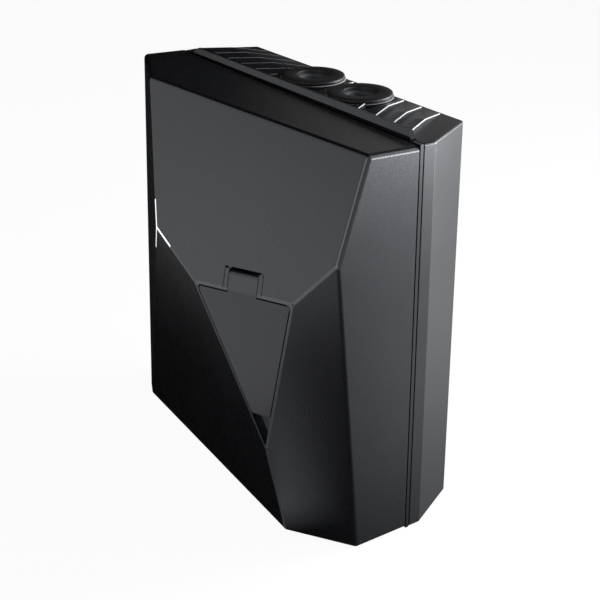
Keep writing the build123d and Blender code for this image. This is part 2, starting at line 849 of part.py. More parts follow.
def terminal_block():
    left = terminal_x - terminal_width / 2
    back = back_wall_front - post_height
    body = slab((left, back - terminal_depth, terminal_foot),
                (left + terminal_width, back, terminal_foot + terminal_height))
    for x, z in terminal_posts():
        body += rod((x, back, z), (0, -1, 0), post_radius, board_thickness)
        inner = (x + terminal_x) / 2
        low, high = sorted((x, inner))
        body += slab((low, back - board_thickness, z - post_radius), (high, back, z + post_radius))
        body -= rod((x, back + overrun, z), (0, -1, 0), board_screw_radius, board_thickness + 2 * overrun)
    pitch = terminal_width / terminal_poles
    for number in range(terminal_poles):
        x = left + pitch * (number + 1 / 2)
        z = terminal_foot + terminal_height / 2
        body -= rod((x, back - terminal_depth - overrun, z), (0, 1, 0), pitch / 4, terminal_depth / 2)
        body -= slab((x - pitch / 4, back - terminal_depth / 2 - pitch / 4, z),
                     (x + pitch / 4, back - terminal_depth / 2 + pitch / 4,
                      terminal_foot + terminal_height + overrun))
    return body


def terminal_screws():
    pitch = terminal_width / terminal_poles
    back = back_wall_front - post_height
    solids = []
    for number in range(terminal_poles):
        x = terminal_x - terminal_width / 2 + pitch * (number + 1 / 2)
        z = terminal_foot + terminal_height / 2
        floor = back - terminal_depth / 2 - overrun
        screw = rod((x, floor, z), (0, -1, 0), pitch / 4, terminal_depth / 4)
        solids.append(screw.solid())
    return Compound(solids)


write("rear_housing", rear_housing())
write("frame_band", frame_band())
write("housing_gasket", housing_gasket())
write("front_cover", front_cover())
write("socket_flap", socket_flap())
write("hinge_pin", hinge_pin())
write("hinge_spring", hinge_spring())
write("flap_seal", flap_seal())
write("light_guide", light_guide())
write("light_board", light_board())
write("socket_body", socket_body())
write("contact_carrier", contact_carrier())
write("power_contacts", contacts(power_spots(), contact_radius, contact_bore))
write("earth_contact", contacts([(0, 0)], contact_radius, contact_bore))
write("signal_contacts", contacts(signal_spots(), signal_radius, signal_bore))
write("socket_gasket", socket_gasket())
write("socket_screws", socket_screws())
write("lock_actuator", lock_actuator())
write("lock_bolt", lock_bolt())
for x, side in zip(entry_xs, ("left", "right")):
    write(f"cable_grommet_{side}", cable_grommet(x))
write("wall_plate", wall_plate())
write("plate_screws", screw_group(plate_screw_spots(), back_wall_front, screw_radius, screw_head_radius,
                                  screw_head_height, wall + back_recess - plate_thickness))
write("cover_screws", cover_screws())
write("main_board", main_board())
write("board_screws", screw_group(board_posts(), board_front, board_screw_radius, board_screw_head_radius,
                                  board_screw_head_height, board_thickness + post_height / 2))
for number, across in enumerate(relay_shares, 1):
    write(f"relay_{number}", on_board(relay_size, across, relay_row_share))
write("current_sensor", current_sensor())
write("power_supply", on_board(supply_size, *supply_shares))
write("radio_module", on_board(radio_size, *radio_shares))
write("processor", on_board(processor_size, *processor_shares))
write("capacitors", capacitors())
write("terminal_block", terminal_block())
write("terminal_screws", terminal_screws())
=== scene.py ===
from math import radians

import bpy
from mathutils import Matrix, Vector


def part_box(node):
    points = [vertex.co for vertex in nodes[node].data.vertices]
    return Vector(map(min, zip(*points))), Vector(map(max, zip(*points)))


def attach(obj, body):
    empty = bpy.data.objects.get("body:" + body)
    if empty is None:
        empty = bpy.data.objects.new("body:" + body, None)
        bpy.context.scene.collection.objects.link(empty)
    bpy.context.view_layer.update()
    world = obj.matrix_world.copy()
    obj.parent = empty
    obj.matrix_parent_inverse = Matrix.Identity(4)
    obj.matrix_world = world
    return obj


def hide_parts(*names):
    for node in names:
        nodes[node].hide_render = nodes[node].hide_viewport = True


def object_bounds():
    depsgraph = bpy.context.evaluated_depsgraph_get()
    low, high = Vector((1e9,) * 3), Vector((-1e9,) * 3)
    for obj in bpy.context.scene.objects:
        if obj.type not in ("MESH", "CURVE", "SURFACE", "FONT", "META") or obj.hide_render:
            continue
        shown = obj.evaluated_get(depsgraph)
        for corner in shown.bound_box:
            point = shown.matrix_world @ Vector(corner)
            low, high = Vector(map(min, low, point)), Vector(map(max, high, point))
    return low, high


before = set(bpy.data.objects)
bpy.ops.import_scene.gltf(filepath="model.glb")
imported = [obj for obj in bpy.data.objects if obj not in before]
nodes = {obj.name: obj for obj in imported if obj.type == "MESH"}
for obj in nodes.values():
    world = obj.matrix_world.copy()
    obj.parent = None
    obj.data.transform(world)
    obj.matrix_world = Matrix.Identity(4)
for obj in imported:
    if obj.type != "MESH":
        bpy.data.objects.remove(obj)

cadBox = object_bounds()
mm = 0.001


# Corners of the cover's facets, in millimetres
facetCorners = {
    "shoulderLeft": (-29.645, -129.376, 44.527),
    "shoulderRight": (128.0, -104.8, 66.891),
    "footKeel": (87.526, -112.267, -125.5),
    "flapLeft": (17.741, -130.935, 24.498),
    "flapRight": (102.656, -117.586, 36.972),
    "flapTip": (80.563, -121.804, -66.389),
}
facetCorners = {name: Vector(place) * mm for name, place in facetCorners.items()}
flapCorners = [facetCorners[name] for name in ("flapLeft", "flapRight", "flapTip")]


# A socket that can be added, taken away and multiplied like a number
class Signal:
    def __init__(self, tree, socket):
        self.tree = tree
        self.socket = socket

    def maths(self, operation, first, second):
        return self.tree.node("ShaderNodeMath", {"operation": operation}, {0: first, 1: second})

    def __add__(self, other):
        return self.maths("ADD", self, other)

    def __radd__(self, other):
        return self.maths("ADD", other, self)

    def __sub__(self, other):
        return self.maths("SUBTRACT", self, other)

    def __rsub__(self, other):
        return self.maths("SUBTRACT", other, self)

    def __mul__(self, other):
        return self.maths("MULTIPLY", self, other)

    def __rmul__(self, other):
        return self.maths("MULTIPLY", other, self)

    def size(self):
        return self.maths("ABSOLUTE", self, 0.0)

    def part(self):
        return self.maths("FRACT", self, 0.0)

    def least(self, other):
        return self.maths("MINIMUM", self, other)

    def most(self, other):
        return self.maths("MAXIMUM", self, other)

    def held(self, low=0.0, high=1.0):
        return self.tree.node("ShaderNodeClamp", {}, {"Value": self, "Min": low, "Max": high})

    # Nought up to a limit, then rising to one over a step
    def past(self, limit, step):
        return ((self - limit) * (1 / step)).held()


# The nodes of a material or world, emptied, and the one way a node is added to them
class Tree:
    def __init__(self, owner):
        owner.use_nodes = True
        self.nodes = owner.node_tree.nodes
        self.links = owner.node_tree.links
        self.nodes.clear()

    def feed(self, socket, value):
        if isinstance(value, Signal):
            self.links.new(value.socket, socket)
        else:
            socket.default_value = value

    def node(self, kind, settings, sockets, output=0):
        made = self.nodes.new(kind)
        for name, value in settings.items():
            if name == "stops":
                self.setStops(made.color_ramp, value)
            else:
                setattr(made, name, value)
        for name, value in sockets.items():
            self.feed(made.inputs[name], value)
        return Signal(self, made.outputs[output]) if made.outputs else None

    def setStops(self, ramp, stops):
        while len(ramp.elements) < len(stops):
            ramp.elements.new(1)
        for element, (position, tone) in zip(ramp.elements, stops):
            element.position = position
            element.color = (tone, tone, tone, 1)


# Detail and roughness of each kind of noise
noiseKinds = {
    "cloud": (3.0, 0.55),
    "grain": (2.0, 0.6),
    "lines": (3.0, 0.6),
    "spots": (2.0, 0.5),
    "peel": (2.0, 0.45),
    "dust": (1.0, 0.5),
    "weave": (1.0, 0.5),
    "frost": (2.0, 0.5),
}


# A material built from one Principled shader
class Finish(Tree):
    def __init__(self, name):
        self.material = bpy.data.materials.new(name)
        super().__init__(self.material)
        surface = self.node("ShaderNodeBsdfPrincipled", {}, {})
        self.shader = surface.socket.node
        self.node("ShaderNodeOutputMaterial", {}, {"Surface": surface})

    def set(self, **values):
        for name, value in values.items():
            self.feed(self.shader.inputs[name.replace("_", " ")], value)

    def place(self):
        return self.node("ShaderNodeTexCoord", {}, {}, "Object")

    def axes(self, vector):
        split = self.node("ShaderNodeSeparateXYZ", {}, {0: vector}).socket.node
        return [Signal(self, output) for output in split.outputs]

    def vectors(self, operation, first, second, output=0):
        return self.node("ShaderNodeVectorMath", {"operation": operation}, {0: first, 1: second}, output)

    # One round the straight line between two places, from half the width falling to nought at the width
    def nearLine(self, place, start, end, width):
        away = self.vectors("SUBTRACT", place, start)
        run = (end - start).normalized()
        along = self.vectors("DOT_PRODUCT", away, run, "Value")
        across = self.vectors("LENGTH", self.vectors("CROSS_PRODUCT", away, run), (0, 0, 0), "Value")
        within = (along * (1 / width)).held() * (((end - start).length - along) * (1 / width)).held()
        return (2 - across * (2 / width)).held() * within

    def noise(self, place, scale, kind):
        detail, roughness = noiseKinds[kind]
        sockets = {"Vector": place, "Scale": scale, "Detail": detail, "Roughness": roughness}
        return self.node("ShaderNodeTexNoise", {}, sockets)

    def cells(self, place, scale, feature="F1"):
        sockets = {"Vector": place, "Scale": scale}
        return self.node("ShaderNodeTexVoronoi", {"feature": feature}, sockets, "Distance")

    def stretched(self, place, scale):
        return self.node("ShaderNodeMapping", {}, {"Vector": place, "Scale": scale})

    def ramp(self, share, stops):
        return self.node("ShaderNodeValToRGB", {"stops": stops}, {"Fac": share})

    def blend(self, share, first, second):
        made = self.node("ShaderNodeMix", {"data_type": "RGBA"}, {0: share}, 2)
        colours = made.socket.node.inputs
        self.feed(colours[6], first)
        self.feed(colours[7], second)
        return made

    def bump(self, height, distance, strength=1.0):
        sockets = {"Height": height, "Distance": distance, "Strength": strength}
        return self.node("ShaderNodeBump", {}, sockets)


def opaque(colour):
    return (*colour, 1.0)


smoothest = 0.05  # least roughness of any finish


# Moulded plastic with a fine spark-eroded grain, also used for rubber and cast blocks
def mouldedPlastic(name, look):
    finish = Finish(name)
    place = finish.place()
    cloud = finish.noise(place, look["cloudScale"], "cloud")
    grain = finish.noise(place, look["grainScale"], "grain")
    pits = finish.cells(place, look["pitScale"])
    tone = (grain - 0.5) * look["toneSpread"] + (cloud - 0.5) * look["cloudSpread"] + 0.5
    colour = finish.blend(tone.held(), opaque(look["dark"]), opaque(look["light"]))
    # Where a look has one, painted highlight or painted light is blended over the colour through its mask
    if "paintedLight" in look:
        paintedLight = look["paintedLight"](finish, place) * (look["paintedLightShare"] + (grain - 0.5) * look["paintedLightGrain"])
        colour = finish.blend(paintedLight.held(), colour, opaque(look["paintedLightColour"]))
    rough = look["roughness"] + (grain - 0.5) * look["roughSpread"] + (cloud - 0.5) * look["roughCloud"]
    relief = grain * look["grainShare"] + pits * (1 - look["grainShare"])
    normal = finish.bump(relief, look["grainDepth"])
    finish.set(Base_Color=colour, Roughness=rough.held(smoothest, 1), Normal=normal)
    finish.set(Specular_IOR_Level=look["specular"], Specular_Tint=opaque(look["tint"]))
    return finish.material


shellLook = {
    "dark": (0.0085, 0.0089, 0.0100),
    "light": (0.0145, 0.0151, 0.0170),
    "roughness": 0.27,
    "specular": 0.5,
    "tint": (0.90, 0.93, 1.0),
    "grainScale": 2600.0,
    "pitScale": 1900.0,
    "cloudScale": 28.0,
    "grainShare": 0.6,
    "grainDepth": 14e-6,
    "toneSpread": 0.9,
    "cloudSpread": 0.5,
    "roughSpread": 0.10,
    "roughCloud": 0.05,
    "paintedLightShare": 0.7,
    "paintedLightGrain": 0.6,
}

# The cover's ridges round the flap, with a pale painted highlight along each: ends, half width in
# millimetres and strength
ridgeHighlightLooks = [
    ("shoulderLeft", "flapLeft", 1.1, 0.5),
    ("flapLeft", "flapRight", 1.6, 0.7),
    ("flapRight", "shoulderRight", 1.3, 0.9),
    ("flapRight", "flapTip", 1.2, 0.7),
    ("flapLeft", "flapTip", 0.8, 0.7),
    ("flapTip", "footKeel", 1.0, 0.8),
]


# Painted highlight along the cover's ridges
def ridgeHighlight(finish, place):
    paintedLight = 0.0
    for start, end, width, strength in ridgeHighlightLooks:
        line = finish.nearLine(place, facetCorners[start], facetCorners[end], width * mm)
        paintedLight = line * strength + paintedLight
    return paintedLight


# The floor of the finger recess under the flap's tip, with painted light on it: how far it reaches from the
# tip, how deep it starts and how far it keeps from the sides, in millimetres
recessLightLook = {"reach": 22.0, "depth": 2.0, "margin": 0.6, "strength": 0.55}


def recessPaintedLight(finish, place):
    look = recessLightLook
    left, right, tip = flapCorners
    inwards = (right - left).cross(tip - left).normalized()
    away = finish.vectors("SUBTRACT", place, tip)
    distance = finish.vectors("LENGTH", away, (0, 0, 0), "Value") * (1 / mm)
    paintedLight = (look["reach"] - distance).held()
    limits = (
        (inwards, look["depth"]),
        ((tip - left).cross(inwards), look["margin"]),
        (inwards.cross(tip - right), look["margin"]),
    )
    for direction, least in limits:
        reached = finish.vectors("DOT_PRODUCT", away, direction.normalized(), "Value") * (1 / mm)
        paintedLight = paintedLight * (reached - least).held()
    return paintedLight * look["strength"]


# Painted highlights on the cover's ridges and painted light on the recess floor
def coverPaintedLight(finish, place):
    return (ridgeHighlight(finish, place) + recessPaintedLight(finish, place)).held()


coverLook = dict(shellLook, paintedLight=coverPaintedLight, paintedLightColour=(0.205, 0.213, 0.232))

# The cable entries on the roof, in millimetres, and the pale painted highlight line round each: its radii
# and where it starts
entryLook = {
    "middles": (-10.8, 37.8),
    "setback": 21.4,
    "mouth": 10.6,
    "lineRadii": (19.8, 21.1),
    "lineFade": 5.0,
    "lineRise": (2.15, 0.125),
}


# How far a place is from the middle of the nearer cable entry, squared
def entryDistance(x, y):
    first, second = [(x - middle) * (x - middle) for middle in entryLook["middles"]]
    back = y + entryLook["setback"]
    return first.least(second) + back * back


# The louvres' crests, with a pale painted highlight: six slats a side that lean inwards as they run to the
# wall
crestHighlightLook = {
    "reach": 113.5,
    "pitch": 16.7,
    "front": -42.6,
    "kink": -24.0,
    "rear": -2.4,
    "kinkShift": 11.0,
    "rearShift": 23.0,
    "roof": 125.5,
    "height": 4.0,
    "drop": 3.3,
    "below": 0.55,
    "width": 0.95,
    "firstSlat": (-0.02, 1 / 60),
    "lastSlat": (5.85, 0.05),
    "lineGain": 3,
    "crestFade": 1 / 6,
}


def entryHighlight(x, y, rise):
    look = entryLook
    inner, outer = look["lineRadii"]
    fade = look["lineFade"]
    ring = entryDistance(x, y)
    line = ring.past(inner ** 2, fade) * (1 - ring.past(outer ** 2 - fade, fade))
    return line * rise.past(*look["lineRise"])


def crestHighlight(finish, place):
    look = crestHighlightLook
    x, y, z = [axis * (1 / mm) for axis in finish.axes(place)]
    rise = z - look["roof"]
    firstRun, secondRun = look["kink"] - look["front"], look["rear"] - look["kink"]
    toWall = (y - look["kink"]).held(0, secondRun)
    shift = (y - look["front"]).held(0, firstRun) * (look["kinkShift"] / firstRun)
    shift = shift + toWall * ((look["rearShift"] - look["kinkShift"]) / secondRun)
    slat = (look["reach"] - x.size() - shift) * (1 / look["pitch"])
    line = 1 - (slat.part() * (look["pitch"] / look["width"])).held()
    inside = slat.past(*look["firstSlat"]) * (1 - slat.past(*look["lastSlat"]))
    crest = look["height"] - toWall * (look["drop"] / secondRun) - look["below"]
    crestLine = (line * look["lineGain"]).held() * inside * (rise - crest).past(0, look["crestFade"])
    return (crestLine + entryHighlight(x, y, rise)).held()


rearLook = dict(
    shellLook,
    dark=(0.0100, 0.0104, 0.0116),
    light=(0.0165, 0.0172, 0.0192),
    roughness=0.30,
    # Painted highlight on the louvres' crests and round the cable entries, in pale grey
    paintedLight=crestHighlight,
    paintedLightColour=(0.76, 0.77, 0.79),
)

bandLook = dict(shellLook, roughness=0.24, grainDepth=6e-6, toneSpread=0.5)

rubberLook = dict(
    shellLook,
    dark=(0.0060, 0.0061, 0.0066),
    light=(0.0120, 0.0122, 0.0130),
    roughness=0.50,
    specular=0.22,
    grainScale=1500.0,
    pitScale=900.0,
    grainDepth=10e-6,
)

# The grommets' steps inside the mouth are painted paler than their skin, and the edges that turn over carry
# a painted highlight
grommetPaintedLight = {"edgeTilt": 0.62, "edgeGain": 3.4, "edgeShare": 0.5, "stepGain": 0.08, "stepShare": 0.5}


def grommetHighlight(finish, place):
    look = grommetPaintedLight
    x, y = [axis * (1 / mm) for axis in finish.axes(place)[:2]]
    steps = ((entryLook["mouth"] ** 2 - entryDistance(x, y)) * look["stepGain"]).held()
    tilt = finish.axes(finish.node("ShaderNodeTexCoord", {}, {}, "Normal"))[2].size()
    edges = 1 - ((tilt - look["edgeTilt"]).size() * look["edgeGain"]).held()
    return (edges * look["edgeShare"] + steps * look["stepShare"]).held()


grommetRubberLook = dict(rubberLook, paintedLight=grommetHighlight, paintedLightColour=(0.30, 0.31, 0.33))

socketLook = dict(
    shellLook,
    dark=(0.0110, 0.0112, 0.0120),
    light=(0.0180, 0.0184, 0.0198),
    roughness=0.30,
    grainScale=1800.0,
    grainDepth=4e-6,
    toneSpread=0.4,
)

relayLook = dict(
    shellLook,
    dark=(0.014, 0.020, 0.042),
    light=(0.022, 0.031, 0.062),
    roughness=0.34,
    grainScale=1400.0,
    grainDepth=5e-6,
)

blockLook = dict(
    shellLook,
    dark=(0.36, 0.37, 0.38),
    light=(0.44, 0.45, 0.46),
    roughness=0.42,
    grainScale=1600.0,
    grainDepth=8e-6,
    toneSpread=0.5,
)

sleeveLook = dict(blockLook, dark=(0.020, 0.020, 0.022), light=(0.034, 0.034, 0.037), roughness=0.22)


# Steel, tin and plated metal with fine drawn lines
def drawnMetal(name, look):
    finish = Finish(name)
    place = finish.place()
    lines = finish.noise(finish.stretched(place, look["lineStretch"]), look["lineScale"], "lines")
    spots = finish.noise(place, look["spotScale"], "spots")
    tone = (lines - 0.5) * look["lineTone"] + (spots - 0.5) * look["spotTone"] + 0.5
    colour = finish.blend(tone.held(), opaque(look["dark"]), opaque(look["light"]))
    rough = look["roughness"] + (lines - 0.5) * look["roughSpread"] + (spots - 0.5) * look["roughSpots"]
    finish.set(Base_Color=colour, Roughness=rough.held(smoothest, 1), Metallic=1.0)
    finish.set(Normal=finish.bump(lines, look["lineDepth"]))
    return finish.material


steelLook = {
    "dark": (0.42, 0.42, 0.43),
    "light": (0.62, 0.62, 0.63),
    "roughness": 0.27,
    "lineStretch": (1.0, 1.0, 14.0),
    "lineScale": 420.0,
    "lineTone": 0.8,
    "lineDepth": 3e-6,
    "spotScale": 190.0,
    "spotTone": 0.4,
    "roughSpread": 0.16,
    "roughSpots": 0.08,
}

platedLook = dict(steelLook, dark=(0.58, 0.47, 0.27), light=(0.80, 0.70, 0.46), roughness=0.22)

tinLook = dict(steelLook, dark=(0.50, 0.51, 0.53), light=(0.70, 0.71, 0.73), roughness=0.34)


# Thick powder coat with its orange-peel skin
def powderCoat(name, look):
    finish = Finish(name)
    place = finish.place()
    peel = finish.noise(place, look["peelScale"], "peel")
    dust = finish.noise(place, look["dustScale"], "dust")
    tone = (peel - 0.5) * look["peelTone"] + (dust - 0.5) * look["dustTone"] + 0.5
    colour = finish.blend(tone.held(), opaque(look["dark"]), opaque(look["light"]))
    rough = look["roughness"] + (dust - 0.5) * look["roughSpread"]
    finish.set(Base_Color=colour, Roughness=rough.held(smoothest, 1))
    finish.set(Normal=finish.bump(peel, look["peelDepth"]), Specular_IOR_Level=look["specular"])
    return finish.material


plateLook = {
    "dark": (0.020, 0.020, 0.022),
    "light": (0.032, 0.032, 0.035),
    "roughness": 0.46,
    "specular": 0.5,
    "peelScale": 620.0,
    "peelTone": 0.6,
    "peelDepth": 28e-6,
    "dustScale": 3200.0,
    "dustTone": 0.5,
    "roughSpread": 0.12,
}


# Circuit board: solder mask over copper tracks, with glass weave showing faintly
def circuitBoard(name, look):
    finish = Finish(name)
    place = finish.place()
    trackPlace = finish.stretched(place, look["trackStretch"])
    tracks = finish.cells(trackPlace, look["trackScale"], "DISTANCE_TO_EDGE")
    copper = finish.ramp(tracks, ((look["trackWidth"], 1), (look["trackWidth"] + look["trackEdge"], 0)))
    weave = finish.noise(finish.stretched(place, look["weaveStretch"]), look["weaveScale"], "weave")
    mask = finish.blend(weave, opaque(look["dark"]), opaque(look["light"]))
    colour = finish.blend(copper * look["trackShow"], mask, opaque(look["track"]))
    relief = copper * look["trackRelief"] + weave * (1 - look["trackRelief"])
    rough = look["roughness"] + (weave - 0.5) * look["roughSpread"]
    finish.set(Base_Color=colour, Roughness=rough.held(smoothest, 1))
    finish.set(Normal=finish.bump(relief, look["reliefDepth"]))
    return finish.material


boardLook = {
    "dark": (0.004, 0.040, 0.018),
    "light": (0.007, 0.062, 0.028),
    "track": (0.030, 0.130, 0.050),
    "trackStretch": (1.0, 1.0, 0.35),
    "trackScale": 240.0,
    "trackWidth": 0.05,
    "trackEdge": 0.02,
    "trackShow": 0.8,
    "trackRelief": 0.7,
    "weaveStretch": (1.0, 1.0, 1.0),
    "weaveScale": 900.0,
    "roughness": 0.30,
    "roughSpread": 0.12,
    "reliefDepth": 20e-6,
}


# Frosted light guide, lit from behind
def litGuide(name, look):
    finish = Finish(name)
    place = finish.place()
    frost = finish.noise(place, look["frostScale"], "frost")
    glow = finish.blend(frost, opaque(look["edge"]), opaque(look["core"]))
    finish.set(Base_Color=glow, Emission_Color=glow, Emission_Strength=look["strength"])
    finish.set(Roughness=look["roughness"], Normal=finish.bump(frost, look["frostDepth"]))
    return finish.material


guideLook = {
    "edge": (0.88, 0.90, 0.93),
    "core": (0.98, 0.99, 1.00),
    "strength": 1.0,
    "roughness": 0.45,
    "frostScale": 1400.0,
    "frostDepth": 4e-6,
}

shell = mouldedPlastic("shellPlastic", shellLook)
cover = mouldedPlastic("coverPlastic", coverLook)
rearShell = mouldedPlastic("rearShellPlastic", rearLook)
bandPlastic = mouldedPlastic("bandPlastic", bandLook)
rubber = mouldedPlastic("blackRubber", rubberLook)
grommetRubber = mouldedPlastic("grommetRubber", grommetRubberLook)
socketPlastic = mouldedPlastic("socketPlastic", socketLook)
relayPlastic = mouldedPlastic("relayPlastic", relayLook)
blockPlastic = mouldedPlastic("terminalPlastic", blockLook)
sleeve = mouldedPlastic("capacitorSleeve", sleeveLook)
steel = drawnMetal("brightSteel", steelLook)
plated = drawnMetal("platedContact", platedLook)
tin = drawnMetal("tinnedCan", tinLook)
coat = powderCoat("powderCoat", plateLook)
board = circuitBoard("solderMask", boardLook)
guide = litGuide("litGuide", guideLook)

nodeFinish = {
    "front_cover": cover,
    "socket_flap": shell,
    "rear_housing": rearShell,
    "frame_band": bandPlastic,
    "housing_gasket": rubber,
    "flap_seal": rubber,
    "socket_gasket": rubber,
    "cable_grommet_left": grommetRubber,
    "cable_grommet_right": grommetRubber,
    "light_guide": guide,
    "light_board": board,
    "main_board": board,
    "socket_body": socketPlastic,
    "contact_carrier": socketPlastic,
    "lock_actuator": socketPlastic,
    "lock_bolt": steel,
    "hinge_pin": steel,
    "hinge_spring": steel,
    "power_contacts": plated,
    "earth_contact": plated,
    "signal_contacts": plated,
    "wall_plate": coat,
    "plate_screws": steel,
    "cover_screws": steel,
    "board_screws": steel,
    "socket_screws": steel,
    "terminal_screws": steel,
    "terminal_block": blockPlastic,
    "relay_1": relayPlastic,
    "relay_2": relayPlastic,
    "relay_3": relayPlastic,
    "current_sensor": relayPlastic,
    "power_supply": relayPlastic,
    "radio_module": tin,
    "processor": sleeve,
    "capacitors": sleeve,
}

for name, material in nodeFinish.items():
    for slot in nodes[name].material_slots:
        slot.material = material
print("finishes on", len(nodeFinish), "nodes")


# Modelling helpers
smoothAngle = 32  # edges that turn by less, in degrees, are shaded smooth
square = 0.9  # least share of a face's normal along an axis that it is said to face
weldGap = 0.001  # vertices nearer than this, in millimetres, become one


def pick(piece):
    bpy.ops.object.select_all(action="DESELECT")
    piece.select_set(True)
    bpy.context.view_layer.objects.active = piece


def selectFaces(piece, wanted):
    pick(piece)
    bpy.ops.object.mode_set(mode="EDIT")
    bpy.ops.mesh.select_mode(type="FACE")
    bpy.ops.mesh.select_all(action="DESELECT")
    bpy.ops.object.mode_set(mode="OBJECT")
    for face in piece.data.polygons:
        face.select = wanted(face)
    bpy.ops.object.mode_set(mode="EDIT")


def leaveEdit():
    bpy.ops.object.mode_set(mode="OBJECT")


def applyModifier(piece, kind, **settings):
    pick(piece)
    modifier = piece.modifiers.new(kind.lower(), kind)
    for name, value in settings.items():
        setattr(modifier, name, value)
    bpy.ops.object.modifier_apply(modifier=modifier.name)


def roundEdges(piece, width, segments=2, angle=35):
    limits = {"limit_method": "ANGLE", "angle_limit": radians(angle)}
    applyModifier(piece, "BEVEL", width=width * mm, segments=segments, **limits)
    bpy.ops.object.shade_smooth_by_angle(angle=radians(smoothAngle))


def settle(piece, place):
    piece.matrix_world = place
    pick(piece)
    bpy.ops.object.transform_apply(location=True, rotation=True, scale=True)


def copyOf(piece, name):
    twin = piece.copy()
    twin.data = piece.data.copy()
    twin.name = name
    bpy.context.scene.collection.objects.link(twin)
    return twin


def joined(pieces, name):
    pick(pieces[0])
    for piece in pieces[1:]:
        piece.select_set(True)
    if len(pieces) > 1:
        bpy.ops.object.join()
    pieces[0].name = name
    return pieces[0]


def finishPiece(piece, body, material):
    piece.data.materials.clear()
    piece.data.materials.append(material)
    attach(piece, body)
    return piece


# A shape turned about the Z axis: the profile gives radii and heights in millimetres
def turned(name, profile, sides, ring=False):
    bpy.ops.object.select_all(action="DESELECT")
    radius, height = profile[0]
    fill = "NOTHING" if ring else "TRIFAN"
    bpy.ops.mesh.primitive_circle_add(vertices=sides, radius=radius * mm, fill_type=fill)
    piece = bpy.context.object
    piece.name = name
    bpy.ops.object.mode_set(mode="EDIT")
    bpy.ops.mesh.select_mode(type="VERT")
    bpy.ops.mesh.select_all(action="SELECT")
    bpy.ops.transform.translate(value=(0, 0, height * mm))
    path = profile[1:] + profile[:1] if ring else profile[1:]
    for nextRadius, nextHeight in path:
        rise = (0, 0, (nextHeight - height) * mm)
        bpy.ops.mesh.extrude_region_move(TRANSFORM_OT_translate={"value": rise})
        share = nextRadius / radius
        bpy.ops.transform.resize(value=(share, share, 1), center_override=(0, 0, 0))
        radius, height = nextRadius, nextHeight
    bpy.ops.mesh.select_all(action="SELECT")
    bpy.ops.mesh.remove_doubles(threshold=weldGap * mm)
    bpy.ops.mesh.normals_make_consistent(inside=False)
    leaveEdit()
    return piece


def boxPiece(name, low, high):
    bpy.ops.object.select_all(action="DESELECT")
    bpy.ops.mesh.primitive_cube_add(size=1, location=(low + high) / 2)
    piece = bpy.context.object
    piece.name = name
    piece.scale = high - low
    bpy.ops.object.transform_apply(location=True, rotation=True, scale=True)
    return piece


# Takes the cutter out of the piece
def carve(piece, cutter):
    applyModifier(piece, "BOOLEAN", operation="DIFFERENCE", solver="EXACT", object=cutter)
    pick(cutter)
    bpy.ops.object.delete()


# Frames: the direction of a screw or turned piece, and the socket's own frame
def facing(place, direction):
    turn = Vector(direction).to_track_quat("Z", "Y").to_matrix().to_4x4()
    return Matrix.Translation(Vector(place)) @ turn


def socketFrame():
    left, right, tip = flapCorners
    out = (right - left).cross(tip - left).normalized()
    if out.y > 0:
        out = -out
    across = Vector((0, 0, 1)).cross(out).normalized()
    up = out.cross(across)
    a, b, c = (right - tip).length, (left - tip).length, (left - right).length
    centre = (left * a + right * b + tip * c) / (a + b + c)
    turn = Matrix((across, up, out)).transposed().to_4x4()
    return Matrix.Translation(centre) @ turn


socketPlace = socketFrame()

# Cable grommets: a soft stepped cone in a wide flange that sits on the collar
grommetLook = {
    "flange": 20.1,
    "flangeHeight": 2.6,
    "seat": 2.4,
    "wall": 3.0,
    "neck": 11.0,
    "lip": 12.2,
    "lipHeight": 2.5,
    "mouth": 10.6,
    "bore": 5.5,
    "boreLength": 3.0,
    "steps": 3,
    "rimRadius": 18.6,
    "rimDrop": 0.35,
    "rounding": 0.5,
    "sides": 64,
    "roof": 125.5,
    "setback": 21.4,
}


def grommetProfile(look):
    top = look["seat"] + look["flangeHeight"]
    foot = -look["wall"] - look["lipHeight"]
    profile = [(look["bore"], foot), (look["lip"], foot), (look["lip"], -look["wall"])]
    profile += [(look["neck"], -look["wall"]), (look["neck"], look["seat"]), (look["flange"], look["seat"])]
    profile += [(look["flange"], top - look["rimDrop"]), (look["rimRadius"], top), (look["mouth"], top)]
    step = (look["mouth"] - look["bore"]) / look["steps"]
    drop = (top - foot - look["boreLength"]) / look["steps"]
    for number in range(look["steps"]):
        radius = look["mouth"] - step * number
        level = top - drop * (number + 1)
        profile += [(radius, level), (radius - step, level)]
    return profile


for side in ("left", "right"):
    node = "cable_grommet_" + side
    low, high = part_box(node)
    grommet = turned(side + "Grommet", grommetProfile(grommetLook), grommetLook["sides"], True)
    roundEdges(grommet, grommetLook["rounding"])
    middle = ((low.x + high.x) / 2, -grommetLook["setback"] * mm, grommetLook["roof"] * mm)
    settle(grommet, Matrix.Translation(Vector(middle)))
    finishPiece(grommet, "housing", grommetRubber)
    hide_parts(node)
print("grommets turned")

# Screws: a turned head and threaded shank, and a recess cut in the head
screwGroups = {
    "plate_screws": {
        "head": (3.8, 2.4), "shank": 2.0, "length": 6.0, "recess": "cross", "direction": (0, -1, 0),
        "spots": [(x, -9.0, z) for x in (-60.0, 60.0) for z in (-89.0, 89.0)],
    },
    "board_screws": {
        "head": (2.8, 2.0), "shank": 1.5, "length": 7.1, "recess": "cross", "direction": (0, -1, 0),
        "spots": [(x, -21.6, z) for x in (-81.0, 9.0) for z in (-100.5, 13.5)],
    },
    "cover_screws": {
        "head": (3.8, 2.4), "shank": 2.0, "length": 11.0, "recess": "hex", "direction": (0, 0, -1),
        "spots": [(x, -37.8, -125.5) for x in (-78.0, 78.0)], "sunk": True,
    },
}

screwLook = {
    "sides": 24,
    "pitch": 0.9,
    "threadDepth": 0.28,
    "point": 1.0,
    "dome": 0.72,
    "pointShare": 0.5,
    "rimShare": 0.55,
    "recessShare": 0.5,
    "recessDepth": 0.6,
    "bladeShare": 0.22,
    "bladeTaper": 0.6,
    "rounding": 0.18,
    "roundAngle": 50,
}


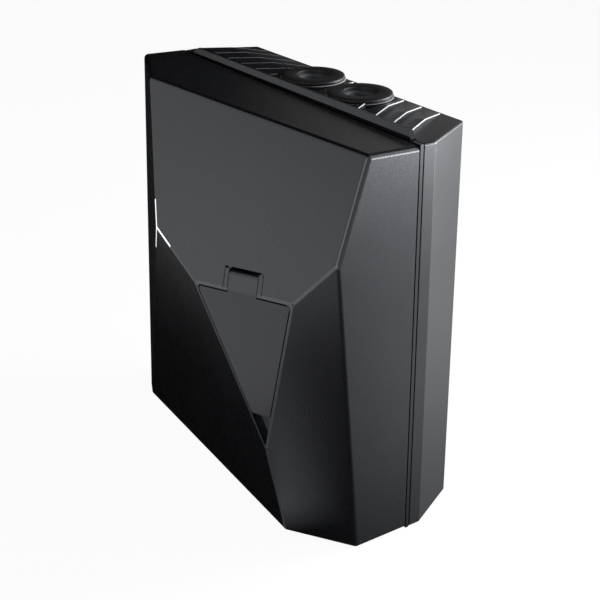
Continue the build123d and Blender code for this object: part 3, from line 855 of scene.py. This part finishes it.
def recessCutter(kind, radius, depth, top):
    if kind == "hex":
        return turned("hexKey", [(radius, top - depth), (radius, top + depth)], 6)
    blades = []
    for turn in (0, 90):
        thin = radius * screwLook["bladeShare"]
        low = Vector((-radius, -thin, top - depth)) * mm
        high = Vector((radius, thin, top + depth)) * mm
        blade = boxPiece("blade", low, high)
        selectFaces(blade, lambda face: face.normal.z < -square)
        taper = screwLook["bladeTaper"]
        bpy.ops.transform.resize(value=(taper, taper, 1), center_override=(0, 0, low.z))
        leaveEdit()
        settle(blade, Matrix.Rotation(radians(turn), 4, "Z"))
        blades.append(blade)
    applyModifier(blades[0], "BOOLEAN", operation="UNION", solver="EXACT", object=blades[1])
    pick(blades[1])
    bpy.ops.object.delete()
    return blades[0]


# The head stands above z = 0, or below it where it is sunk, and the shank goes down from there
def screw(name, group, look):
    radius, height = group["head"]
    shank, length = group["shank"], group["length"]
    root = shank - look["threadDepth"]
    sunk = group.get("sunk", False)
    level = -length + look["point"]
    profile = [(root * look["pointShare"], -length), (root, level)]
    ceiling = -height if sunk else 0
    while level + look["pitch"] < ceiling - look["pitch"] / 2:
        profile += [(shank, level + look["pitch"] / 2), (root, level + look["pitch"])]
        level += look["pitch"]
    if sunk:
        profile += [(shank, -height), (radius, 0)]
        top = 0
    else:
        profile += [(shank, 0), (radius, 0)]
        profile += [(radius, height * look["rimShare"]), (radius * look["dome"], height)]
        top = height
    piece = turned(name, profile, look["sides"])
    cutter = recessCutter(group["recess"], radius * look["recessShare"], height * look["recessDepth"], top)
    carve(piece, cutter)
    roundEdges(piece, look["rounding"], 1, look["roundAngle"])
    return piece


def screwSet(node, group, body, spots):
    first = screw("screw", group, screwLook)
    pieces = [first] + [copyOf(first, "screw") for spot in spots[1:]]
    for piece, place in zip(pieces, spots):
        settle(piece, place)
    whole = joined(pieces, node.replace("_screws", "Screws"))
    finishPiece(whole, body, steel)
    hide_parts(node)
    return whole


for node, group in screwGroups.items():
    places = [facing(Vector(spot) * mm, group["direction"]) for spot in group["spots"]]
    screwSet(node, group, "housing", places)

# Screws through the socket's flange, driven from behind
flangeScrews = {"head": (2.8, 2.0), "shank": 1.5, "length": 4.5, "recess": "cross", "depth": 12.0}


def flangeSpots():
    spots = []
    inverse = socketPlace.inverted()
    corners = [inverse @ corner for corner in flapCorners]
    mesh = nodes["socket_screws"].data
    reach = max((inverse @ vertex.co).xy.length for vertex in mesh.vertices) - flangeScrews["head"][0] * mm
    for corner in corners:
        spot = corner.xy.normalized() * reach
        place = Matrix.Translation((spot.x, spot.y, -flangeScrews["depth"] * mm))
        spots.append(socketPlace @ place @ Matrix.Rotation(radians(180), 4, "X"))
    return spots


screwSet("socket_screws", flangeScrews, "housing", flangeSpots())
print("screws cut")

# Blocks on the boards: a cube with rounded edges and a pressed-in top
relayBlock = {
    "slot": "relay",
    "finish": relayPlastic,
    "rim": 1.4,
    "press": 0.35,
    "rounding": 0.7,
    "draft": 0.97,
}
shieldBlock = dict(relayBlock, slot="shield", finish=tin, rim=1.0, press=0.25, rounding=0.3)
blockLooks = {
    "relay_1": dict(relayBlock, name="relay1"),
    "relay_2": dict(relayBlock, name="relay2"),
    "relay_3": dict(relayBlock, name="relay3"),
    "power_supply": dict(relayBlock, name="powerSupply", rim=3.2, press=0.8, rounding=1.2),
    "radio_module": dict(shieldBlock, name="radioModule"),
    "processor": dict(relayBlock, name="processorChip", finish=sleeve, rim=0.9, press=0.12, rounding=0.2),
}


def pressedBlock(node, look):
    low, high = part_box(node)
    piece = boxPiece(look["name"], low, high)
    selectFaces(piece, lambda face: face.normal.y < -square)
    bpy.ops.mesh.inset(thickness=look["rim"] * mm)
    bpy.ops.mesh.extrude_region_move(TRANSFORM_OT_translate={"value": (0, look["press"] * mm, 0)})
    bpy.ops.transform.resize(value=(look["draft"], 1, look["draft"]), center_override=(low + high) / 2)
    leaveEdit()
    roundEdges(piece, look["rounding"])
    finishPiece(piece, "housing", look["finish"])
    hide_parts(node)
    return piece


for node, look in blockLooks.items():
    pressedBlock(node, look)

# Capacitors: a crimped can with a pressed vent
capacitorLook = {
    "radius": 6.0,
    "height": 20.0,
    "groove": 3.0,
    "grooveHalf": 0.8,
    "grooveDepth": 0.5,
    "sleeveLip": 0.8,
    "crimp": 0.2,
    "vent": 4.0,
    "ventSlope": 0.6,
    "ventDepth": 0.3,
    "sides": 32,
    "rounding": 0.25,
    "spots": [(-30.0, -21.6, z) for z in (-70.78, -53.42, -36.06)],
}


def capacitorCan(look):
    radius, height = look["radius"], look["height"]
    groove, half, vent = look["groove"], look["grooveHalf"], look["vent"]
    profile = [(radius, 0), (radius, groove - half), (radius - look["grooveDepth"], groove)]
    profile += [(radius, groove + half), (radius, height - look["crimp"])]
    profile += [(radius - look["sleeveLip"], height)]
    profile += [(vent, height), (vent - look["ventSlope"], height - look["ventDepth"])]
    piece = turned("capacitorCan", profile, look["sides"])
    roundEdges(piece, look["rounding"])
    return piece


firstCan = capacitorCan(capacitorLook)
cans = [firstCan] + [copyOf(firstCan, "can") for spot in capacitorLook["spots"][1:]]
for can, spot in zip(cans, capacitorLook["spots"]):
    settle(can, facing(Vector(spot) * mm, (0, -1, 0)))
cans = joined(cans, "capacitorCans")
finishPiece(cans, "housing", sleeve)
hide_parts("capacitors")

# Current sensor: a potted ring
sensorLook = {"outer": 15.0, "inner": 8.0, "height": 11.0, "step": 1.2, "sides": 56, "rounding": 0.6}


def sensorRing(look):
    low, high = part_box("current_sensor")
    outer, inner, height, step = look["outer"], look["inner"], look["height"], look["step"]
    ledge = height - step
    profile = [(inner, 0), (outer, 0), (outer, ledge), (outer - step, ledge), (outer - step, height)]
    profile += [(inner + step, height), (inner + step, ledge), (inner, ledge)]
    piece = turned("currentSensor", profile, look["sides"], True)
    roundEdges(piece, look["rounding"])
    settle(piece, facing(((low.x + high.x) / 2, high.y, (low.z + high.z) / 2), (0, -1, 0)))
    finishPiece(piece, "housing", relayPlastic)
    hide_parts("current_sensor")
    return piece


sensorRing(sensorLook)
print("blocks, capacitors and sensor made")

# Small parts soldered on the main board: width, height and thickness in millimetres
chipLook = {"rounding": 0.12, "legs": 0.35, "legInset": 0.25}
chipSizes = {
    "amplifier": (5.0, 4.0, 1.2),
    "driver": (6.2, 5.0, 1.5),
    "oscillator": (4.0, 4.0, 1.0),
    "coupler": (4.4, 6.0, 1.6),
    "wideResistor": (3.2, 1.6, 0.9),
    "resistor": (2.0, 1.2, 0.7),
}

# Where they stand, as shares of the board from its lower left corner
chipSpots = [
    ("amplifier", 0.14, 0.34),
    ("wideResistor", 0.26, 0.30),
    ("wideResistor", 0.33, 0.34),
    ("wideResistor", 0.40, 0.34),
    ("driver", 0.68, 0.30),
    ("wideResistor", 0.68, 0.38),
    ("resistor", 0.76, 0.32),
    ("resistor", 0.86, 0.33),
    ("amplifier", 0.92, 0.30),
    ("resistor", 0.30, 0.08),
    ("resistor", 0.55, 0.10),
    ("oscillator", 0.60, 0.16),
    ("wideResistor", 0.14, 0.68),
    ("coupler", 0.50, 0.68),
    ("wideResistor", 0.62, 0.66),
    ("resistor", 0.72, 0.68),
]


def boardChip(spot, low, high):
    kind, across, up = spot
    width, tall, thick = chipSizes[kind]
    x = low.x + across * (high.x - low.x)
    z = low.z + up * (high.z - low.z)
    half = Vector((width / 2, 0, tall / 2)) * mm
    middle = Vector((x, low.y, z))
    body = boxPiece("chip", middle - half - Vector((0, thick * mm, 0)), middle + half)
    selectFaces(body, lambda face: abs(face.normal.x) > square)
    bpy.ops.mesh.inset(thickness=chipLook["legInset"] * thick * mm, use_individual=True)
    bpy.ops.mesh.extrude_faces_move(TRANSFORM_OT_shrink_fatten={"value": chipLook["legs"] * mm})
    leaveEdit()
    roundEdges(body, chipLook["rounding"], 1)
    return body


low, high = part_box("main_board")
chips = joined([boardChip(spot, low, high) for spot in chipSpots], "boardChips")
finishPiece(chips, "housing", sleeve)

# Row of solder pins under the terminals' edge of the board
pinLook = {"count": 12, "pitch": 2.54, "width": 0.64, "rise": 5.5, "point": 0.5, "start": (0.20, 0.955)}


def pinRow(look, low, high):
    x = low.x + look["start"][0] * (high.x - low.x)
    z = low.z + look["start"][1] * (high.z - low.z)
    half = look["width"] / 2 * mm
    foot = Vector((x - half, low.y - look["rise"] * mm, z - half))
    pin = boxPiece("pin", foot, Vector((x + half, low.y, z + half)))
    selectFaces(pin, lambda face: face.normal.y < -square)
    bpy.ops.mesh.extrude_region_move(TRANSFORM_OT_translate={"value": (0, -half, 0)})
    bpy.ops.transform.resize(value=(look["point"], 1, look["point"]), center_override=(x, low.y, z))
    leaveEdit()
    offset = {"use_relative_offset": False, "use_constant_offset": True}
    offset["constant_offset_displace"] = (look["pitch"] * mm, 0, 0)
    applyModifier(pin, "ARRAY", count=look["count"], **offset)
    return pin


pins = pinRow(pinLook, low, high)
pins.name = "boardPins"
finishPiece(pins, "housing", steel)

# Light emitters on the light board, behind the arms of the guide
emitterLook = {"size": 3.0, "rise": 1.1, "rim": 0.5, "press": 0.4, "rounding": 0.15}
emitterSpots = [(0.5, 0.38), (0.5, 0.62), (0.72, 0.45)]


def emitter(look, across, up):
    low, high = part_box("light_board")
    x = low.x + across * (high.x - low.x)
    z = low.z + up * (high.z - low.z)
    half = Vector((look["size"] / 2, 0, look["size"] / 2)) * mm
    middle = Vector((x, low.y, z))
    piece = boxPiece("emitter", middle - half - Vector((0, look["rise"] * mm, 0)), middle + half)
    selectFaces(piece, lambda face: face.normal.y < -square)
    bpy.ops.mesh.inset(thickness=look["rim"] * mm)
    bpy.ops.mesh.extrude_region_move(TRANSFORM_OT_translate={"value": (0, look["press"] * mm, 0)})
    leaveEdit()
    roundEdges(piece, look["rounding"], 1)
    return piece


emitters = joined([emitter(emitterLook, *spot) for spot in emitterSpots], "lightEmitters")
finishPiece(emitters, "housing", guide)

# Soft pad on the flap's inner side, which closes on the seal round the socket's mouth
padLook = {
    "radius": 26.6,
    "rim": 2.4,
    "rimSlope": 0.5,
    "thickness": 0.5,
    "web": 0.22,
    "ridge": 12.0,
    "ridgeWidth": 1.2,
    "depth": 3.0,
    "sides": 72,
    "rounding": 0.1,
}


def flapPad(look):
    radius, thick, web, ridge = look["radius"], look["thickness"], look["web"], look["ridge"]
    inner = radius - look["rim"]
    outerRidge = ridge + look["ridgeWidth"]
    profile = [(radius, 0), (radius, thick), (inner, thick), (inner - look["rimSlope"], web)]
    profile += [(outerRidge, web), (outerRidge, thick), (ridge, thick), (ridge, web), (ridge / 2, web)]
    piece = turned("flapPad", profile, look["sides"])
    roundEdges(piece, look["rounding"], 1)
    down = Matrix.Translation((0, 0, -look["depth"] * mm)) @ Matrix.Rotation(radians(180), 4, "X")
    settle(piece, socketPlace @ down)
    return finishPiece(piece, "flap", rubber)


flapPad(padLook)
print("board parts, emitters and flap pad made")

# Lamps and surroundings, in metres
stageLook = {
    "floorSize": 6.0,
    "floorGap": 0.0002,
    "floorColour": (0.35, 0.35, 0.35),
    "white": (1, 1, 1),
    "shadowShare": 0.05,
    "fillStrength": 0.06,
    "lampAim": (0, -0.06, 0),
}

lamps = [
    {"name": "rearLow", "place": (0.379, 0.754, 0.063), "size": (0.3, 0.3), "watts": 13.5},
    {"name": "rearHigh", "place": (0.329, 0.646, 0.450), "size": (0.3, 0.3), "watts": 7.0},
    {"name": "rightRear", "place": (0.688, 0.517, 0.063), "size": (0.3, 0.3), "watts": 7.0},
    {"name": "frontLeft", "place": (-0.379, -0.874, 0.063), "size": (0.6, 0.3), "watts": 0.3},
    {"name": "frontRight", "place": (0.30, -0.85, 0.25), "size": (0.4, 0.4), "watts": 1.6},
]

# Where the card at the object's foot is clear: in front of the lower right facet, between "nearFrom"
# and "nearTo", and more and more towards the right rear. Each pair is a limit and the step after it
footFade = {
    "nearFrom": (0.078, 0.01),
    "nearTo": (2.35 / 26, 1 / 26),
    "front": (0.11, 0.025),
    "side": (1.15 / 9, 1 / 9),
    "sideShare": 0.3,
    "farAcross": 2.0,
    "farDeep": 2.5,
    "far": (0.02, 1.0),
    "farShare": 0.85,
    "slope": 0.76,
    "slant": (-2.2 / 8.5, 1 / 8.5),
}


def footClear(card, place):
    look = footFade
    across, deep = card.axes(place)[:2]
    near = across.past(*look["nearFrom"]) * (1 - across.past(*look["nearTo"]))
    front = (0 - deep).past(*look["front"])
    side = across.past(*look["side"]) * look["sideShare"]
    far = (across * look["farAcross"] + deep * look["farDeep"]).past(*look["far"]) * look["farShare"]
    slant = (deep - across * look["slope"]).past(*look["slant"])
    return (near * front + (side + far) * slant).held()


# The wall's card fades towards the rear
wallFade = (0.58, 1 / 0.9)


def wallClear(card, place):
    deep = card.axes(place)[1]
    return deep.past(*wallFade)


# Black cards that the plastic mirrors: the camera sees past them and they throw no shadow
flat, upright = (0, 0, 0), (0, 90, 0)
cards = [
    {
        "name": "leftFloorCard", "turn": flat,
        "place": (-0.725, 0.37, -0.1255), "size": (1.55, 1.17),
    },
    {
        "name": "leftWallCard", "turn": upright, "clear": wallClear,
        "place": (-1.0, 0.45, 0.6), "size": (1.6, 1.9),
    },
    {
        "name": "roofCard", "turn": flat,
        "place": (-0.5, 0.5, 0.9), "size": (2.0, 2.2),
    },
    {
        "name": "footCard", "turn": flat, "clear": footClear,
        "place": (0.30, 0.05, -0.1253), "size": (0.60, 0.80),
    },
]


# A black card, clear where its mask is one
def cardFinish(name, clear):
    card = Finish(name)
    card.set(Base_Color=(0, 0, 0, 1), Roughness=1.0, Specular_IOR_Level=0.0)
    if clear:
        card.set(Alpha=1 - clear(card, card.place()))
    return card.material


def makeCard(look):
    bpy.ops.object.select_all(action="DESELECT")
    turn = [radians(angle) for angle in look["turn"]]
    bpy.ops.mesh.primitive_plane_add(size=1, location=look["place"], rotation=turn)
    card = bpy.context.object
    card.name = look["name"]
    card.scale = (*look["size"], 1)
    bpy.ops.object.transform_apply(location=True, rotation=True, scale=True)
    card.visible_camera = False
    card.visible_shadow = False
    card.visible_diffuse = False
    card.data.materials.append(cardFinish(look["name"] + "Black", look.get("clear")))
    return card


def makeCamera(look):
    data = bpy.data.cameras.new("camera")
    data.lens = look["lens"]
    camera = bpy.data.objects.new("camera", data)
    bpy.context.scene.collection.objects.link(camera)
    turn = Matrix.Rotation(radians(look["yaw"]), 4, "Z")
    turn = turn @ Matrix.Rotation(radians(90 - look["dip"]), 4, "X")
    turn = turn @ Matrix.Rotation(radians(look["roll"]), 4, "Z")
    camera.matrix_world = Matrix.Translation(Vector(look["place"])) @ turn
    bpy.context.scene.camera = camera


cameraLook = {
    "place": (0.67322, -0.51806, 0.35875),
    "lens": 81.5524,
    "dip": 24.5544,
    "yaw": 54.5773,
    "roll": 0.086,
}


def makeLamp(look):
    data = bpy.data.lights.new(look["name"], "AREA")
    data.shape = "RECTANGLE"
    data.size, data.size_y = look["size"]
    data.energy = look["watts"]
    lamp = bpy.data.objects.new(look["name"], data)
    bpy.context.scene.collection.objects.link(lamp)
    way = Vector(stageLook["lampAim"]) - Vector(look["place"])
    lamp.location = look["place"]
    lamp.rotation_euler = way.to_track_quat("-Z", "Y").to_euler()


# One for a ray from the camera, and for one that was mirrored or let through
def seenDirectly(tree):
    seen = tree.node("ShaderNodeLightPath", {}, {}, "Is Camera Ray")
    rays = seen.socket.node.outputs
    for name in ("Is Glossy Ray", "Is Transmission Ray"):
        seen = seen.most(Signal(tree, rays[name]))
    return seen


def makeWorld(look):
    world = bpy.data.worlds.new("studio")
    bpy.context.scene.world = world
    tree = Tree(world)
    fill = tree.node("ShaderNodeBackground", {}, {"Strength": look["fillStrength"]})
    white = tree.node("ShaderNodeBackground", {}, {"Color": opaque(look["white"])})
    mix = tree.node("ShaderNodeMixShader", {}, {"Fac": seenDirectly(tree), 1: fill, 2: white})
    tree.node("ShaderNodeOutputWorld", {}, {"Surface": mix})


def makeFloor(look):
    bpy.ops.object.select_all(action="DESELECT")
    bpy.ops.mesh.primitive_plane_add(size=look["floorSize"], location=(0, 0, cadBox[0].z - look["floorGap"]))
    floor = bpy.context.object
    floor.name = "floor"
    bpy.ops.object.transform_apply(location=True)
    material = bpy.data.materials.new("paleFloor")
    tree = Tree(material)
    plain = tree.node("ShaderNodeBsdfDiffuse", {}, {"Color": opaque(look["floorColour"])})
    shaded = tree.node("ShaderNodeBsdfDiffuse", {}, {"Color": opaque(look["white"])})
    glow = tree.node("ShaderNodeEmission", {}, {"Color": opaque(look["white"])})
    pale = tree.node("ShaderNodeMixShader", {}, {"Fac": look["shadowShare"], 1: glow, 2: shaded})
    mix = tree.node("ShaderNodeMixShader", {}, {"Fac": seenDirectly(tree), 1: plain, 2: pale})
    tree.node("ShaderNodeOutputMaterial", {}, {"Surface": mix})
    floor.data.materials.append(material)


makeCamera(cameraLook)
makeWorld(stageLook)
makeFloor(stageLook)
for look in lamps:
    makeLamp(look)
for look in cards:
    makeCard(look)
bpy.context.scene.view_settings.view_transform = "Standard"
print("studio set")
